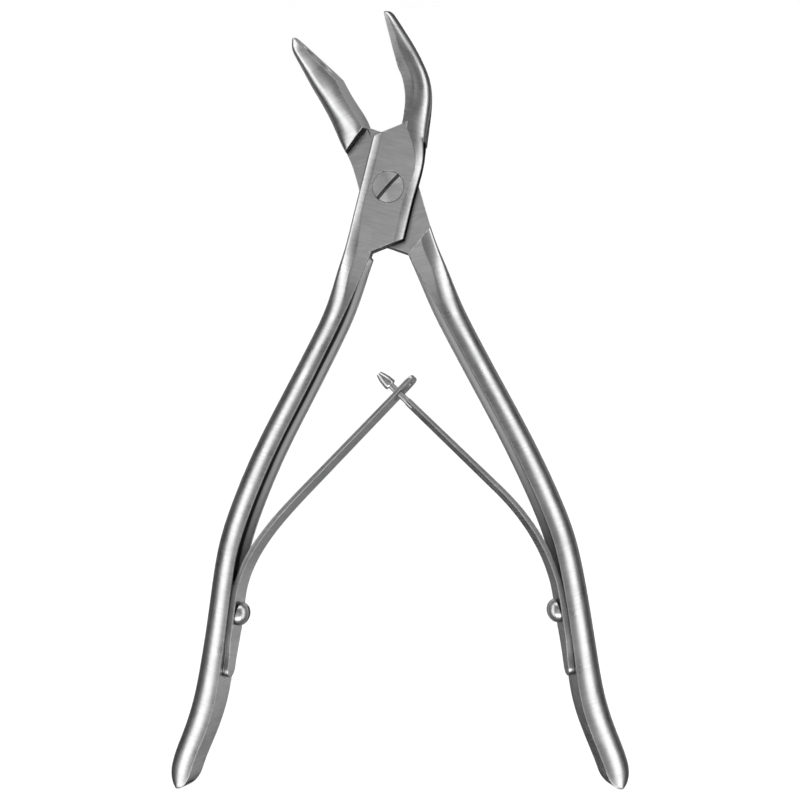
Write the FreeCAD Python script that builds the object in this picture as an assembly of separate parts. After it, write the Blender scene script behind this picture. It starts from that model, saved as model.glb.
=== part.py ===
"""Side curved bone rongeur: two lapped arms, a joint screw and two hooked leaf springs.

Sizes are millimetres. The instrument lies on its back with the joint screw up. The origin is on the
joint axis at the back of the joint, Z runs up along that axis and +Y points to the jaws.
Each arm is drawn in the closed position and then turned to the open one, where the springs hold it.
The front arm carries the right jaw and the left handle, the rear arm the left jaw and the right handle.
"""
import FreeCAD
import Part
import math
import os

from FreeCAD import Vector

# Joint
joint_thickness = 8.0
front_joint_width = 10.6
rear_joint_width = 11.4
lap_clearance = 0.04
shoulder_slope = 35.6
plate_reach = 10.3
shoulder_gap = 0.8
half_opening = 15.0
joint_overlap = 0.6
joint_side_round = 2.2
joint_levels = (14.0, 7.0, 0.0, -7.0)
grinding_allowance = 0.6

# Joint screw
screw_head_diameter = 6.0
screw_head_depth = 1.8
screw_head_rise = 0.4
screw_head_clearance = 0.1
screw_shank_diameter = 4.0
screw_shank_clearance = 0.04
screw_thread_diameter = 3.4
screw_slot_width = 0.65
screw_slot_depth = 0.75
screw_slot_angle = 47.0
crown_steps = 3

# Handles: distance below the joint axis, outer face from the closing line, width, depth
left_handle = (
    (14.0, 5.4, 5.15, 7.4),
    (25.0, 6.5, 4.8, 6.8),
    (40.0, 9.9, 5.0, 6.6),
    (57.0, 13.8, 5.1, 6.6),
    (74.0, 15.7, 5.1, 6.6),
    (90.0, 14.3, 5.2, 6.5),
    (105.0, 13.25, 5.5, 6.3),
    (118.0, 14.2, 5.1, 5.8),
)
right_handle = (
    (14.0, 6.0, 5.75, 7.4),
    (25.0, 7.35, 5.1, 6.8),
    (40.0, 10.4, 5.0, 6.6),
    (57.0, 13.95, 5.1, 6.6),
    (74.0, 15.95, 5.1, 6.6),
    (90.0, 14.65, 5.2, 6.5),
    (105.0, 13.0, 5.5, 6.3),
    (118.0, 13.6, 5.2, 5.8),
)
handle_length = 123.8
handle_tip_round = 4.6
tip_depth_share = 0.45
tip_least_share = 0.14
tip_angles = (0, 30, 50, 68, 82)
handle_roll = 13.0
roll_start = 10.0
roll_end = 30.0
rim_land = 0.45

# Hollow of the handles
hollow_start = 13.6
hollow_end = 82.0
hollow_wall = 1.2
hollow_rim = 0.6
hollow_run_out = 5.0
hollow_end_shares = (0.02, 0.12, 0.35, 0.7)
hollow_steps = 8

# Seat of the spring, sunk in the inner face of the handle
seat_start = 74.0
seat_end = 99.6
seat_depth = 0.15
seat_width = 5.3
seat_steps = 5
round_end_angles = (25, 45, 62, 76, 85)

# Leaf springs
leaf_thickness = 1.15
leaf_tip_thickness = 0.7
leaf_width = 4.9
leaf_end_width = 3.4
leaf_tip_width = 3.0
leaf_end_gap = 0.3
leaf_angle = 30.0
leaf_crossing = 39.5
leaf_crossing_side = 1.2
leaf_straight = 27.0
leaf_lift_before_screw = 2.6
leaf_seat_clearance = 0.06
leaf_tip_reach = 4.4
leaf_foot_flare = 10.0
leaf_taper_start = 12.0
leaf_steps = 10
leaf_end_angles = (12, 30, 50, 70, 90)

# Hook that links the leaves
hook_slot_width = 1.7
hook_slot_before = 1.6
hook_slot_after = 3.2
hook_shoulder = 2.8
hook_neck_diameter = 1.3
hook_head_start = 1.7
hook_head_length = 3.3
hook_head_diameter = 2.4
hook_head_tip_diameter = 1.1
hook_head_edge = 0.2
hook_steps = 4

# Spring screws
spring_screw_station = 86.8
spring_screw_head_diameter = 4.6
spring_screw_head_height = 1.9
spring_screw_shank_diameter = 2.2
spring_screw_length = 3.2
spring_screw_clearance = 0.05
spring_screw_slot_width = 0.6
spring_screw_slot_depth = 0.7
spring_screw_head_edge = 0.15
spring_screw_head_clearance = 0.2

# Jaws
bite_angle = 30.0
bite_offset = 8.9
bite_clearance = 0.04
bite_cant = 19.0
bite_start = 22.3
bite_cut_start = 17.0
jaw_land = 0.52
jaw_crease = 28.0
bite_allowance = 1.0

# Cups of the jaws
cup_start = 23.9
cup_end = 32.3
cup_radius = 1.45

cut_margin = 1.0
middle = joint_thickness / 2
shoulder_reach = plate_reach + shoulder_gap
leaf_lift = spring_screw_station - leaf_lift_before_screw
far = 200.0
side_steps = 10
dome_steps = 5
up = Vector(0, 0, 1)


def polar(angle, length=1.0):
    """Return the plan vector of a length at an angle from +X."""
    return Vector(length * math.cos(math.radians(angle)), length * math.sin(math.radians(angle)), 0)


def blend(value, low, high):
    """Return 0 below low, 1 above high and an S curve between them."""
    share = min(max((value - low) / (high - low), 0.0), 1.0)
    return share * share * (3 - 2 * share)


def smooth(stations, where):
    """Return the columns of the stations at a distance, on a smooth curve through all of them."""
    last = len(stations) - 1
    index = 0
    while index < last - 1 and where > stations[index + 1][0]:
        index += 1
    start = stations[index]
    end = stations[index + 1]
    before = stations[max(index - 1, 0)]
    after = stations[min(index + 2, last)]
    span = end[0] - start[0]
    share = min(max((where - start[0]) / span, 0.0), 1.0)
    columns = []
    for column in range(1, len(start)):
        slope_in = (end[column] - before[column]) / (end[0] - before[0])
        slope_out = (after[column] - start[column]) / (after[0] - start[0])
        curve = (2 * share ** 3 - 3 * share ** 2 + 1) * start[column]
        curve += (share ** 3 - 2 * share ** 2 + share) * span * slope_in
        curve += (3 * share ** 2 - 2 * share ** 3) * end[column]
        curve += (share ** 3 - share ** 2) * span * slope_out
        columns.append(curve)
    return columns


class Station:
    """A section plane: its origin on the inner face, the outward axis and the axis towards the front."""

    def __init__(self, origin, outward, roll):
        lean = math.radians(roll)
        self.origin = Vector(origin.x, origin.y, middle)
        self.outward = outward * math.cos(lean) - up * math.sin(lean)
        self.front = up * math.cos(lean) + outward * math.sin(lean)

    def point(self, out, forward):
        return self.origin + self.outward * out + self.front * forward


def smooth_curve(points, steps):
    """Return a smooth curve through the points, with given parameters so that rows of them match."""
    curve = Part.BSplineCurve()
    curve.interpolate(Points=points, Parameters=steps)
    return curve


def straight(start, end):
    """Return a straight curve with two poles."""
    curve = Part.BSplineCurve()
    curve.buildFromPolesMultsKnots([start, end], [2, 2], [0.0, 1.0], False, 1)
    return curve


def half_round(station, width, depth, side_round, inner=0.0, crease=0.0):
    """Return a D shaped section: flat inner face, a land along each rim and a faceted round side."""
    limit = math.radians(90 - crease)
    side = []
    for step in range(side_steps + 1):
        angle = limit - 2 * limit * step / side_steps
        reach = (math.cos(angle) - math.cos(limit)) / (1 - math.cos(limit))
        height = math.sin(angle) / math.sin(limit)
        side.append(station.point(width - side_round + side_round * reach, depth / 2 * height))
    corners = [station.point(inner, depth / 2)] + side + [station.point(inner, -depth / 2)]
    return [straight(start, end) for start, end in zip(corners, corners[1:] + corners[:1])]


def block(station, low, high, half):
    """Return a rectangular section between two distances from the inner face."""
    corners = [station.point(low, half), station.point(high, half)]
    corners += [station.point(high, -half), station.point(low, -half)]
    return [straight(start, end) for start, end in zip(corners, corners[1:] + corners[:1])]


def skin(sections):
    """Return the solid whose sides run smoothly through sections with matching curves."""
    centres = []
    for section in sections:
        centre = Vector(0, 0, 0)
        for curve in section:
            centre += curve.getPole(1)
        centres.append(centre * (1.0 / len(section)))
    steps = [0.0]
    for start, end in zip(centres, centres[1:]):
        steps.append(steps[-1] + start.distanceToPoint(end))
    faces = []
    for number in range(len(sections[0])):
        across = sections[0][number]
        rows = [section[number].getPoles() for section in sections]
        lines = [smooth_curve(list(line), steps) for line in zip(*rows)]
        poles = [list(line) for line in zip(*[line.getPoles() for line in lines])]
        surface = Part.BSplineSurface()
        surface.buildFromPolesMultsKnots(
            poles, lines[0].getMultiplicities(), across.getMultiplicities(),
            lines[0].getKnots(), across.getKnots(), False, False, lines[0].Degree, across.Degree)
        faces.append(surface.toShape())
    for section in (sections[0], sections[-1]):
        faces.append(Part.Face(Part.Wire([curve.toShape() for curve in section])))
    shell = Part.makeShell(faces)
    shell.sewShape()
    solid = Part.Solid(shell)
    if solid.Volume < 0:
        solid.reverse()
    return solid


def slab(direction, near, depth_low, depth_high):
    """Return a block that fills everything beyond a distance along a plan direction."""
    piece = Part.makeBox(far, 2 * far, depth_high - depth_low)
    piece.translate(Vector(near, -far, depth_low))
    angle = math.degrees(math.atan2(direction.y, direction.x))
    piece.rotate(Vector(0, 0, 0), up, angle)
    return piece


def band(direction, reach, depth_low, depth_high):
    """Return a block that fills a band across the joint axis."""
    piece = Part.makeBox(2 * reach, 2 * far, depth_high - depth_low)
    piece.translate(Vector(-reach, -far, depth_low))
    angle = math.degrees(math.atan2(direction.y, direction.x))
    piece.rotate(Vector(0, 0, 0), up, angle)
    return piece


def rounded_share(inside, length):
    """Return the share of the full width a rounded end has at a distance inside its limit."""
    return math.sqrt(max(1 - ((length - min(inside, length)) / length) ** 2, 0.0))


def handle_stations(side):
    return right_handle if side > 0 else left_handle


def handle_size(side, below):
    """Return the outer face, width and depth of a handle at a distance below the axis."""
    outer, width, depth = smooth(handle_stations(side), below)
    left = handle_length - below
    if left < handle_tip_round:
        share = max(rounded_share(left, handle_tip_round), tip_least_share)
        centre = outer - width / 2
        outer = centre + width * share / 2
        width *= share
        depth *= tip_depth_share + (1 - tip_depth_share) * share
    return outer, width, depth


def handle_roll_at(below):
    return handle_roll * blend(below, roll_start, roll_end)


def handle_station(side, below):
    """Return the section plane of a handle, with its origin in the middle of the inner face."""
    outer, width, depth = handle_size(side, below)
    return Station(Vector(side * (outer - width), -below, 0), Vector(side, 0, 0), handle_roll_at(below))


def handle_levels(side):
    """Return where the sections of a handle lie: thirds of the neck, stations, middles and the tip."""
    stations = handle_stations(side)
    levels = [station[0] for station in stations[:-1]]
    neck = (levels[1] - levels[0]) / 3
    middles = [(start[0] + end[0]) / 2 for start, end in zip(stations[1:], stations[2:])]
    tip = handle_length - handle_tip_round
    ends = [tip + handle_tip_round * math.sin(math.radians(angle)) for angle in tip_angles]
    return sorted(levels + [levels[0] + neck, levels[0] + 2 * neck] + middles + ends)


def handle_body(side, half_width):
    """Return the handle and its half of the joint. Side is -1 for the left handle and 1 for the right."""
    depth = joint_thickness + grinding_allowance
    wires = []
    for level in joint_levels:
        station = Station(Vector(-side * joint_overlap, level, 0), Vector(side, 0, 0), 0.0)
        wires.append(half_round(station, half_width + joint_overlap, depth, joint_side_round))
    for below in handle_levels(side):
        width, depth = handle_size(side, below)[1:]
        land = max(rim_land, (width - joint_side_round) * (1 - blend(below, roll_start, roll_end)))
        wires.append(half_round(handle_station(side, below), width, depth, width - min(land, width / 2)))
    return skin(wires)


def bite_point(along, across=0.0):
    """Return a point given along the closing line of the jaws and across it, to the right."""
    return polar(90 + bite_angle, along) + polar(bite_angle, bite_offset + across)


# Throat of the jaws: inner point, outer point and depth of each section, from the joint to the elbow
right_throat = (
    (Vector(-0.1, 12.2, 0), Vector(4.65, 11.8, 0), 8.0),
    (Vector(-0.2, 15.0, 0), Vector(4.4, 15.2, 0), 6.8),
    (Vector(-0.5, 18.0, 0), Vector(3.9, 18.9, 0), 5.6),
    (Vector(-1.5, 21.0, 0), Vector(2.7, 22.3, 0), 4.9),
)
left_throat = (
    (Vector(-0.9, 12.2, 0), Vector(-6.3, 11.6, 0), 8.0),
    (Vector(-1.2, 14.7, 0), Vector(-6.65, 14.4, 0), 7.0),
    (Vector(-2.2, 18.0, 0), Vector(-7.15, 17.2, 0), 5.9),
    (Vector(-3.0, 20.8, 0), Vector(-7.75, 19.6, 0), 5.1),
)
# Cutting part of each jaw: distance along the closing line, width and depth
right_bite = (
    (bite_start, 4.1, 4.6),
    (24.5, 3.7, 4.5),
    (27.0, 3.1, 4.2),
    (29.5, 2.35, 3.7),
    (31.6, 1.7, 2.9),
    (33.0, 1.0, 1.9),
    (33.9, 0.35, 0.9),
)
left_bite = (
    (bite_start, 5.35, 4.8),
    (24.5, 4.85, 4.6),
    (27.0, 4.05, 4.3),
    (29.5, 3.25, 3.8),
    (31.6, 2.6, 3.1),
    (33.4, 1.8, 2.1),
    (34.5, 0.6, 1.0),
)


def jaw_body(side, half_width, throat, bite):
    """Return a jaw and its half of the joint. Side is 1 for the right jaw and -1 for the left."""
    depth = joint_thickness + 2 * grinding_allowance
    cant = -side * bite_cant
    sections = []
    for level in joint_levels:
        station = Station(Vector(-side * joint_overlap, -level, 0), Vector(side, 0, 0), 0.0)
        sections.append(half_round(station, half_width + joint_overlap, depth, joint_side_round))
    for number, (inner, outer, section_depth) in enumerate(throat):
        outward = outer - inner
        lean = cant * min((number + 1.0) / 2, 1.0)
        width = outward.Length / math.cos(math.radians(lean))
        outward.normalize()
        share = (number + 1.0) / len(throat)
        station = Station(inner, outward, lean)
        side_round = width * (1 - jaw_land * share)
        sections.append(half_round(station, width, section_depth, side_round, 0.0, jaw_crease * share))
    outward = polar(bite_angle) * side
    for along, plan_width, section_depth in bite:
        station = Station(bite_point(along), outward, cant)
        width = plan_width / math.cos(math.radians(cant))
        spare = bite_allowance * blend(along, bite_start, bite_start + bite_allowance)
        side_round = width * (1 - jaw_land)
        sections.append(half_round(station, width, section_depth, side_round, -spare, jaw_crease))
    return skin(sections)


def bite_frame():
    """Return the placement of the bite plane: X across it to the right, Y along it to the tips."""
    station = Station(bite_point(0.0), polar(bite_angle), -bite_cant)
    turn = FreeCAD.Rotation(station.outward, polar(90 + bite_angle), station.front, "XYZ")
    return FreeCAD.Placement(station.origin, turn)


def bite_cut(side):
    """Return the block that grinds the bite face of a jaw. The faces keep half the clearance each."""
    piece = Part.makeBox(far, far, far)
    start = -far + bite_clearance / 2 if side > 0 else -bite_clearance / 2
    piece.translate(Vector(start, bite_cut_start, -far / 2))
    piece.Placement = bite_frame().multiply(piece.Placement)
    return piece


def cup():
    """Return the spindle that is scooped out of both bite faces."""
    half = (cup_end - cup_start) / 2
    arc = Part.Arc(Vector(-half, 0, 0), Vector(0, cup_radius, 0), Vector(half, 0, 0)).toShape()
    chord = Part.makeLine(Vector(-half, 0, 0), Vector(half, 0, 0))
    piece = Part.Face(Part.Wire([arc, chord])).revolve(Vector(0, 0, 0), Vector(1, 0, 0), 360)
    piece.rotate(Vector(0, 0, 0), up, 90)
    piece.translate(Vector(0, (cup_start + cup_end) / 2, 0))
    piece.Placement = bite_frame().multiply(piece.Placement)
    return piece


def hollow(side):
    """Return the hollow that lightens a handle."""
    span = (hollow_end - hollow_start - 2 * hollow_run_out) / hollow_steps
    levels = [hollow_start + hollow_run_out * share for share in hollow_end_shares]
    levels += [hollow_start + hollow_run_out + span * step for step in range(hollow_steps + 1)]
    levels += [hollow_end - hollow_run_out * share for share in reversed(hollow_end_shares)]
    sections = []
    for below in levels:
        width, depth = handle_size(side, below)[1:]
        share = rounded_share(min(below - hollow_start, hollow_end - below), hollow_run_out)
        deep = (width - hollow_wall) * share
        station = handle_station(side, below)
        sections.append(half_round(station, deep, depth - 2 * hollow_rim, deep, -cut_margin))
    return skin(sections)


def seat(side):
    """Return the shallow flat pocket that the foot of the spring lies in."""
    half = seat_width / 2
    span = (seat_end - half - seat_start) / seat_steps
    levels = [seat_start + span * step for step in range(seat_steps + 1)]
    levels += [seat_end - half + half * math.sin(math.radians(angle)) for angle in round_end_angles]
    sections = []
    for below in levels:
        share = rounded_share(seat_end - below, half)
        sections.append(block(handle_station(side, below), -cut_margin, seat_depth, half * share))
    return skin(sections)


def along_axis(piece, start, direction):
    """Place a piece that was drawn along +Z from the origin."""
    piece.Placement = FreeCAD.Placement(start, FreeCAD.Rotation(up, direction))
    return piece


def turned(profile):
    """Return the solid turned about +Z from points given as radius and height."""
    points = [Vector(radius, 0, height) for radius, height in profile]
    face = Part.Face(Part.makePolygon(points + points[:1]))
    return face.revolve(Vector(0, 0, 0), up, 360)


def spring_screw_hole(side, radius):
    station = handle_station(side, spring_screw_station)
    length = 2 * spring_screw_head_height + seat_depth + spring_screw_length
    hole = Part.makeCylinder(radius, length)
    return along_axis(hole, station.point(-2 * spring_screw_head_height, 0.0), station.outward)


def joint_half(body_handle, body_jaw, side, recess):
    """Return an arm in one solid, with its end edges, lap recess, hollow and seat."""
    end_normal = polar(90 - side * shoulder_slope)
    body_handle = body_handle.cut(hollow(side)).cut(seat(side))
    body_handle = body_handle.cut(slab(end_normal, plate_reach, -far, far))
    body_jaw = body_jaw.cut(slab(end_normal * -1, plate_reach, -far, far))
    body_jaw = body_jaw.cut(bite_cut(-side)).cut(cup())
    arm = body_handle.fuse(body_jaw)
    ground = Part.makeBox(2 * far, 2 * far, joint_thickness)
    ground.translate(Vector(-far, -far, 0))
    arm = arm.common(ground).cut(recess)
    return arm.cut(spring_screw_hole(side, spring_screw_shank_diameter / 2))


def front_arm():
    recess = band(polar(90 - shoulder_slope), shoulder_reach, -cut_margin, middle + lap_clearance / 2)
    half_width = front_joint_width / 2
    jaw = jaw_body(1, half_width, right_throat, right_bite)
    arm = joint_half(handle_body(-1, half_width), jaw, -1, recess)
    shank = screw_shank_diameter / 2 + screw_shank_clearance
    head = screw_head_diameter / 2 + screw_head_clearance
    arm = arm.cut(Part.makeCylinder(shank, 2 * joint_thickness, Vector(0, 0, -cut_margin)))
    arm = arm.cut(Part.makeCylinder(head, joint_thickness, Vector(0, 0, joint_thickness - screw_head_depth)))
    return opened_arm(arm, -1)


def rear_arm():
    recess = band(polar(90 + shoulder_slope), shoulder_reach, middle - lap_clearance / 2, 2 * joint_thickness)
    half_width = rear_joint_width / 2
    jaw = jaw_body(-1, half_width, left_throat, left_bite)
    arm = joint_half(handle_body(1, half_width), jaw, 1, recess)
    arm = arm.cut(Part.makeCylinder(screw_thread_diameter / 2, 2 * joint_thickness, Vector(0, 0, -cut_margin)))
    return opened_arm(arm, 1)


def opened_arm(shape, side):
    """Turn a shape drawn on a closed arm to the open position."""
    shape.rotate(Vector(0, 0, 0), up, side * half_opening)
    return shape


def pivot_screw():
    """Return the joint screw: slotted head, plain shank in the front arm and thread in the rear arm."""
    head = screw_head_diameter / 2
    shank = screw_shank_diameter / 2
    thread = screw_thread_diameter / 2
    head_base = joint_thickness - screw_head_depth
    shank_base = middle - lap_clearance / 2
    profile = [(0, 0), (thread, 0), (thread, shank_base), (shank, shank_base), (shank, head_base),
               (head, head_base), (head, joint_thickness)]
    crown = (head ** 2 + screw_head_rise ** 2) / (2 * screw_head_rise)
    for step in range(1, crown_steps + 1):
        radius = head * (1 - step / crown_steps)
        profile.append((radius, joint_thickness + screw_head_rise - crown + math.sqrt(crown ** 2 - radius ** 2)))
    screw = turned(profile)
    slot = Part.makeBox(2 * head, screw_slot_width, screw_slot_depth + screw_head_rise)
    slot.translate(Vector(-head, -screw_slot_width / 2, joint_thickness + screw_head_rise - screw_slot_depth))
    slot.rotate(Vector(0, 0, 0), up, screw_slot_angle)
    return screw.cut(slot)


def crossing_place(side):
    """Return where the leaves cross, seen from a closed arm."""
    crossing = Vector(leaf_crossing_side, -leaf_crossing, 0)
    return FreeCAD.Rotation(up, -side * half_opening).multVec(crossing)


def leaf_direction(side):
    """Return the direction of the straight end of a leaf, seen from a closed arm."""
    return polar(90 + side * leaf_angle)


def leaf_middle(side, travel):
    """Return the middle of the leaf and its direction. Travel is measured back from the crossing."""
    crossing = crossing_place(side)
    direction = leaf_direction(side)
    if travel <= leaf_straight:
        return crossing - direction * travel, direction
    foot = seat_middle(side, leaf_lift)
    foot_direction = seat_direction(side, leaf_lift)
    top = crossing - direction * leaf_straight
    chord = foot.distanceToPoint(top)
    share = (travel - leaf_straight) / chord
    if share < 1:
        start = top
        start_slope = direction * -chord
        end_slope = foot_direction * -chord
        middle_point = start * (2 * share ** 3 - 3 * share ** 2 + 1)
        middle_point += start_slope * (share ** 3 - 2 * share ** 2 + share)
        middle_point += foot * (3 * share ** 2 - 2 * share ** 3)
        middle_point += end_slope * (share ** 3 - share ** 2)
        slope = start * (6 * share ** 2 - 6 * share) + start_slope * (3 * share ** 2 - 4 * share + 1)
        slope += foot * (6 * share - 6 * share ** 2) + end_slope * (3 * share ** 2 - 2 * share)
        slope.normalize()
        return middle_point, slope * -1
    below = leaf_lift + (travel - leaf_straight - chord)
    return seat_middle(side, below), seat_direction(side, below)


def seat_middle(side, below):
    point = handle_station(side, below).point(seat_depth - leaf_seat_clearance - leaf_thickness / 2, 0.0)
    return Vector(point.x, point.y, 0)


def seat_direction(side, below):
    direction = seat_middle(side, below - 0.5) - seat_middle(side, below + 0.5)
    direction.normalize()
    return direction


def leaf_length(side):
    """Return the travel from the crossing to the foot of the leaf."""
    top = crossing_place(side) - leaf_direction(side) * leaf_straight
    chord = seat_middle(side, leaf_lift).distanceToPoint(top)
    return leaf_straight + chord + (seat_end - leaf_end_gap - leaf_lift)


def leaf_station(side, travel):
    middle_point, direction = leaf_middle(side, travel)
    outward = Vector(direction.y, -direction.x, 0) * side
    return Station(middle_point, outward, handle_roll)


def leaf(side, tip):
    """Return a leaf from its foot to a tip. Tip is the distance by which it passes the crossing."""
    total = leaf_length(side)
    rounded = leaf_end_width / 2
    travels = [total - rounded * (1 - math.cos(math.radians(angle))) for angle in leaf_end_angles]
    travels += [total - leaf_foot_flare * share for share in (0.5, 1.0)]
    travels += [(total - leaf_foot_flare) * (1 - step / leaf_steps) for step in range(1, leaf_steps)]
    sections = []
    for travel in travels:
        from_end = total - travel
        share = rounded_share(from_end, rounded)
        width = leaf_end_width + (leaf_width - leaf_end_width) * blend(from_end, rounded, leaf_foot_flare)
        width -= (leaf_width - leaf_tip_width) * blend(from_end, leaf_taper_start, total)
        thick = leaf_thickness - (leaf_thickness - leaf_tip_thickness) * from_end / total
        sections.append(block(leaf_station(side, travel), -thick / 2, thick / 2, width * share / 2))
    for travel in (0.0, -tip) if tip > 0 else (-tip,):
        half = leaf_tip_thickness / 2
        sections.append(block(leaf_station(side, travel), -half, half, leaf_tip_width / 2))
    blade = skin(sections)
    return blade.cut(spring_screw_hole(side, spring_screw_shank_diameter / 2 + spring_screw_clearance))


def left_leaf_spring():
    """Return the leaf of the left handle, with the rounded slot near its tip."""
    blade = leaf(-1, leaf_tip_reach)
    station = leaf_station(-1, 0.0)
    length = hook_slot_before + hook_slot_after
    radius = hook_slot_width / 2
    slot = Part.makeBox(length - hook_slot_width, hook_slot_width, 2 * leaf_thickness)
    slot.translate(Vector(radius - hook_slot_before, -radius, -leaf_thickness))
    for place in (radius - hook_slot_before, hook_slot_after - radius):
        slot = slot.fuse(Part.makeCylinder(radius, 2 * leaf_thickness, Vector(place, 0, -leaf_thickness)))
    turn = FreeCAD.Rotation(leaf_direction(-1), station.front, station.outward, "XYZ")
    slot.Placement = FreeCAD.Placement(station.origin, turn)
    return opened_arm(blade.cut(slot), -1)


def right_leaf_spring():
    """Return the leaf of the right handle, with the neck and head that hook through the slot."""
    blade = leaf(1, -hook_shoulder)
    station = leaf_station(1, 0.0)
    neck = hook_neck_diameter / 2
    head = hook_head_diameter / 2
    tip = hook_head_tip_diameter / 2
    end = hook_head_start + hook_head_length
    root = -hook_shoulder - cut_margin
    widest = hook_head_start + hook_head_edge
    profile = [(0, root), (neck, root), (neck, hook_head_start)]
    profile += [(head - hook_head_edge / 2, hook_head_start), (head, widest)]
    for step in range(1, hook_steps + 1):
        share = step / hook_steps
        profile.append((head - (head - tip) * share ** 2, widest + (end - widest) * share))
    profile.append((0, end))
    hook = along_axis(turned(profile), station.origin, leaf_direction(1))
    return opened_arm(blade.fuse(hook), 1)


def spring_screw(side):
    """Return a spring screw: slotted dome head on the leaf and a shank in the handle."""
    station = handle_station(side, spring_screw_station)
    head = spring_screw_head_diameter / 2
    shank = spring_screw_shank_diameter / 2
    height = spring_screw_head_height
    profile = [(0, -leaf_thickness - spring_screw_length), (shank, -leaf_thickness - spring_screw_length),
               (shank, 0), (head, 0)]
    edge = spring_screw_head_edge
    for step in range(1, dome_steps + 1):
        angle = math.radians(90 * step / dome_steps)
        profile.append((head * math.cos(angle), edge + (height - edge) * math.sin(angle)))
    screw = turned(profile)
    slot = Part.makeBox(2 * head, spring_screw_slot_width, height)
    slot.translate(Vector(-head, -spring_screw_slot_width / 2, height - spring_screw_slot_depth))
    screw = screw.cut(slot)
    inward = station.outward * -1
    along = Vector(0, -1, 0)
    turn = FreeCAD.Rotation(along, inward.cross(along), inward, "XYZ")
    raised = leaf_seat_clearance + leaf_thickness + spring_screw_head_clearance
    screw.Placement = FreeCAD.Placement(station.point(seat_depth - raised, 0.0), turn)
    return opened_arm(screw, side)


def save(name, shape):
    """Write one node and print what it holds."""
    if shape.ShapeType == "Compound" and len(shape.Solids) == 1:
        shape = shape.Solids[0]
    print(name, shape.ShapeType, len(shape.Solids), shape.isValid(), round(shape.Volume, 2))
    shape.exportStep("parts/" + name + ".step")


os.makedirs("parts", exist_ok=True)
save("front_arm", front_arm())
save("rear_arm", rear_arm())
save("pivot_screw", pivot_screw())
save("left_leaf_spring", left_leaf_spring())
save("right_leaf_spring", right_leaf_spring())
save("left_spring_screw", spring_screw(-1))
save("right_spring_screw", spring_screw(1))
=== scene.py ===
"""Looks of the side curved bone rongeur: satin steel arms, joint screw and hooked leaf springs.

Shapes are worked out in millimetres in the closed position, turned to the open one and then written in
metres. Side is -1 for the left handle and the front arm, and 1 for the right handle and the rear arm.
"""

import math

import bmesh
import bpy
import numpy as np
from mathutils import Matrix, Quaternion, Vector


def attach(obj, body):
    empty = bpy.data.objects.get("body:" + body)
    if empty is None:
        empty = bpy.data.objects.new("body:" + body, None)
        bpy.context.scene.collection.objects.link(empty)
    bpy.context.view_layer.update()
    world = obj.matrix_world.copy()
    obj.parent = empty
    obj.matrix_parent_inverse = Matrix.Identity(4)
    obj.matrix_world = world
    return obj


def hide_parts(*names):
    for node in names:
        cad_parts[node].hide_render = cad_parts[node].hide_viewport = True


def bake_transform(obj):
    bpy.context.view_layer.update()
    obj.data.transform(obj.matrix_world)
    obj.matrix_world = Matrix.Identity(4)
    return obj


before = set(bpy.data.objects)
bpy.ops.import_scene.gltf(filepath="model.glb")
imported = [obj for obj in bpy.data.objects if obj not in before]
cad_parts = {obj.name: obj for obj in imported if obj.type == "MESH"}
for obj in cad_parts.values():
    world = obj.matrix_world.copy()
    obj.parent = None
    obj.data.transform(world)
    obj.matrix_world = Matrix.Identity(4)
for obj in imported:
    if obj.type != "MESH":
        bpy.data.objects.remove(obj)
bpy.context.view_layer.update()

MM = 0.001
UP = Vector((0, 0, 1))
FAR = 60.0

# Joint
joint_thickness = 8.0
joint_middle = joint_thickness / 2
front_joint_width = 10.6
rear_joint_width = 11.4
lap_clearance = 0.04
shoulder_slope = 35.6
plate_reach = 10.3
shoulder_gap = 0.8
shoulder_reach = plate_reach + shoulder_gap
shoulder_edge = 0.3
groove_width = 0.22
groove_depth = 0.4
half_opening = 15.0
joint_overlap = 0.6
# Corner beside the flat of the joint: tilt reached, width and steps of each arc
corner_arcs = ((21.5, 0.06, 4), (28.0, 1.34, 8), (88.0, 0.35, 6))
left_corner_flatter = 3.5
joint_side_round = sum(width for tilt, width, steps in corner_arcs)
joint_levels = (14.0, 7.0, 0.0, -7.0)
grinding_allowance = 0.12
grinding_reach = 140.0
thread_hole_top = 6.0

# Handles: distance below the joint axis and depth, then outer face from the closing line and width of
# the left one, and the same two of the right one
handles = (
    (14.0, 7.4, 5.4, 5.15, 6.0, 5.75),
    (25.0, 6.8, 6.5, 4.8, 7.35, 5.1),
    (40.0, 6.6, 9.9, 5.0, 10.4, 5.0),
    (57.0, 6.6, 13.8, 5.1, 13.95, 5.1),
    (74.0, 6.6, 15.7, 5.1, 15.95, 5.1),
    (90.0, 6.5, 14.3, 5.2, 14.65, 5.2),
    (105.0, 6.3, 13.25, 5.5, 13.0, 5.5),
    (118.0, 5.8, 14.2, 5.1, 13.6, 5.2),
)
handle_length = 122.3
handle_tip_round = 4.2
tip_depth_share = 0.45
tip_least_share = 0.14
tip_angles = (0, 15, 30, 42, 52, 60, 68, 75, 81, 85)
handle_roll = 13.0
roll_start = 10.0
roll_end = 30.0
rim_land = 0.45

# Hollow of the handles and seat of the springs
hollow_start = 13.6
hollow_end = 82.0
hollow_wall = 1.2
hollow_rim = 0.6
hollow_run_out = 5.0
hollow_end_shares = (0.02, 0.07, 0.15, 0.3, 0.5, 0.75)
hollow_steps = 12
seat_start = 74.0
seat_end = 99.6
seat_depth = 0.15
seat_width = 5.3
seat_steps = 8
seat_half_step = 0.5
round_end_angles = (12, 25, 36, 46, 56, 66, 76, 85)

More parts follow.
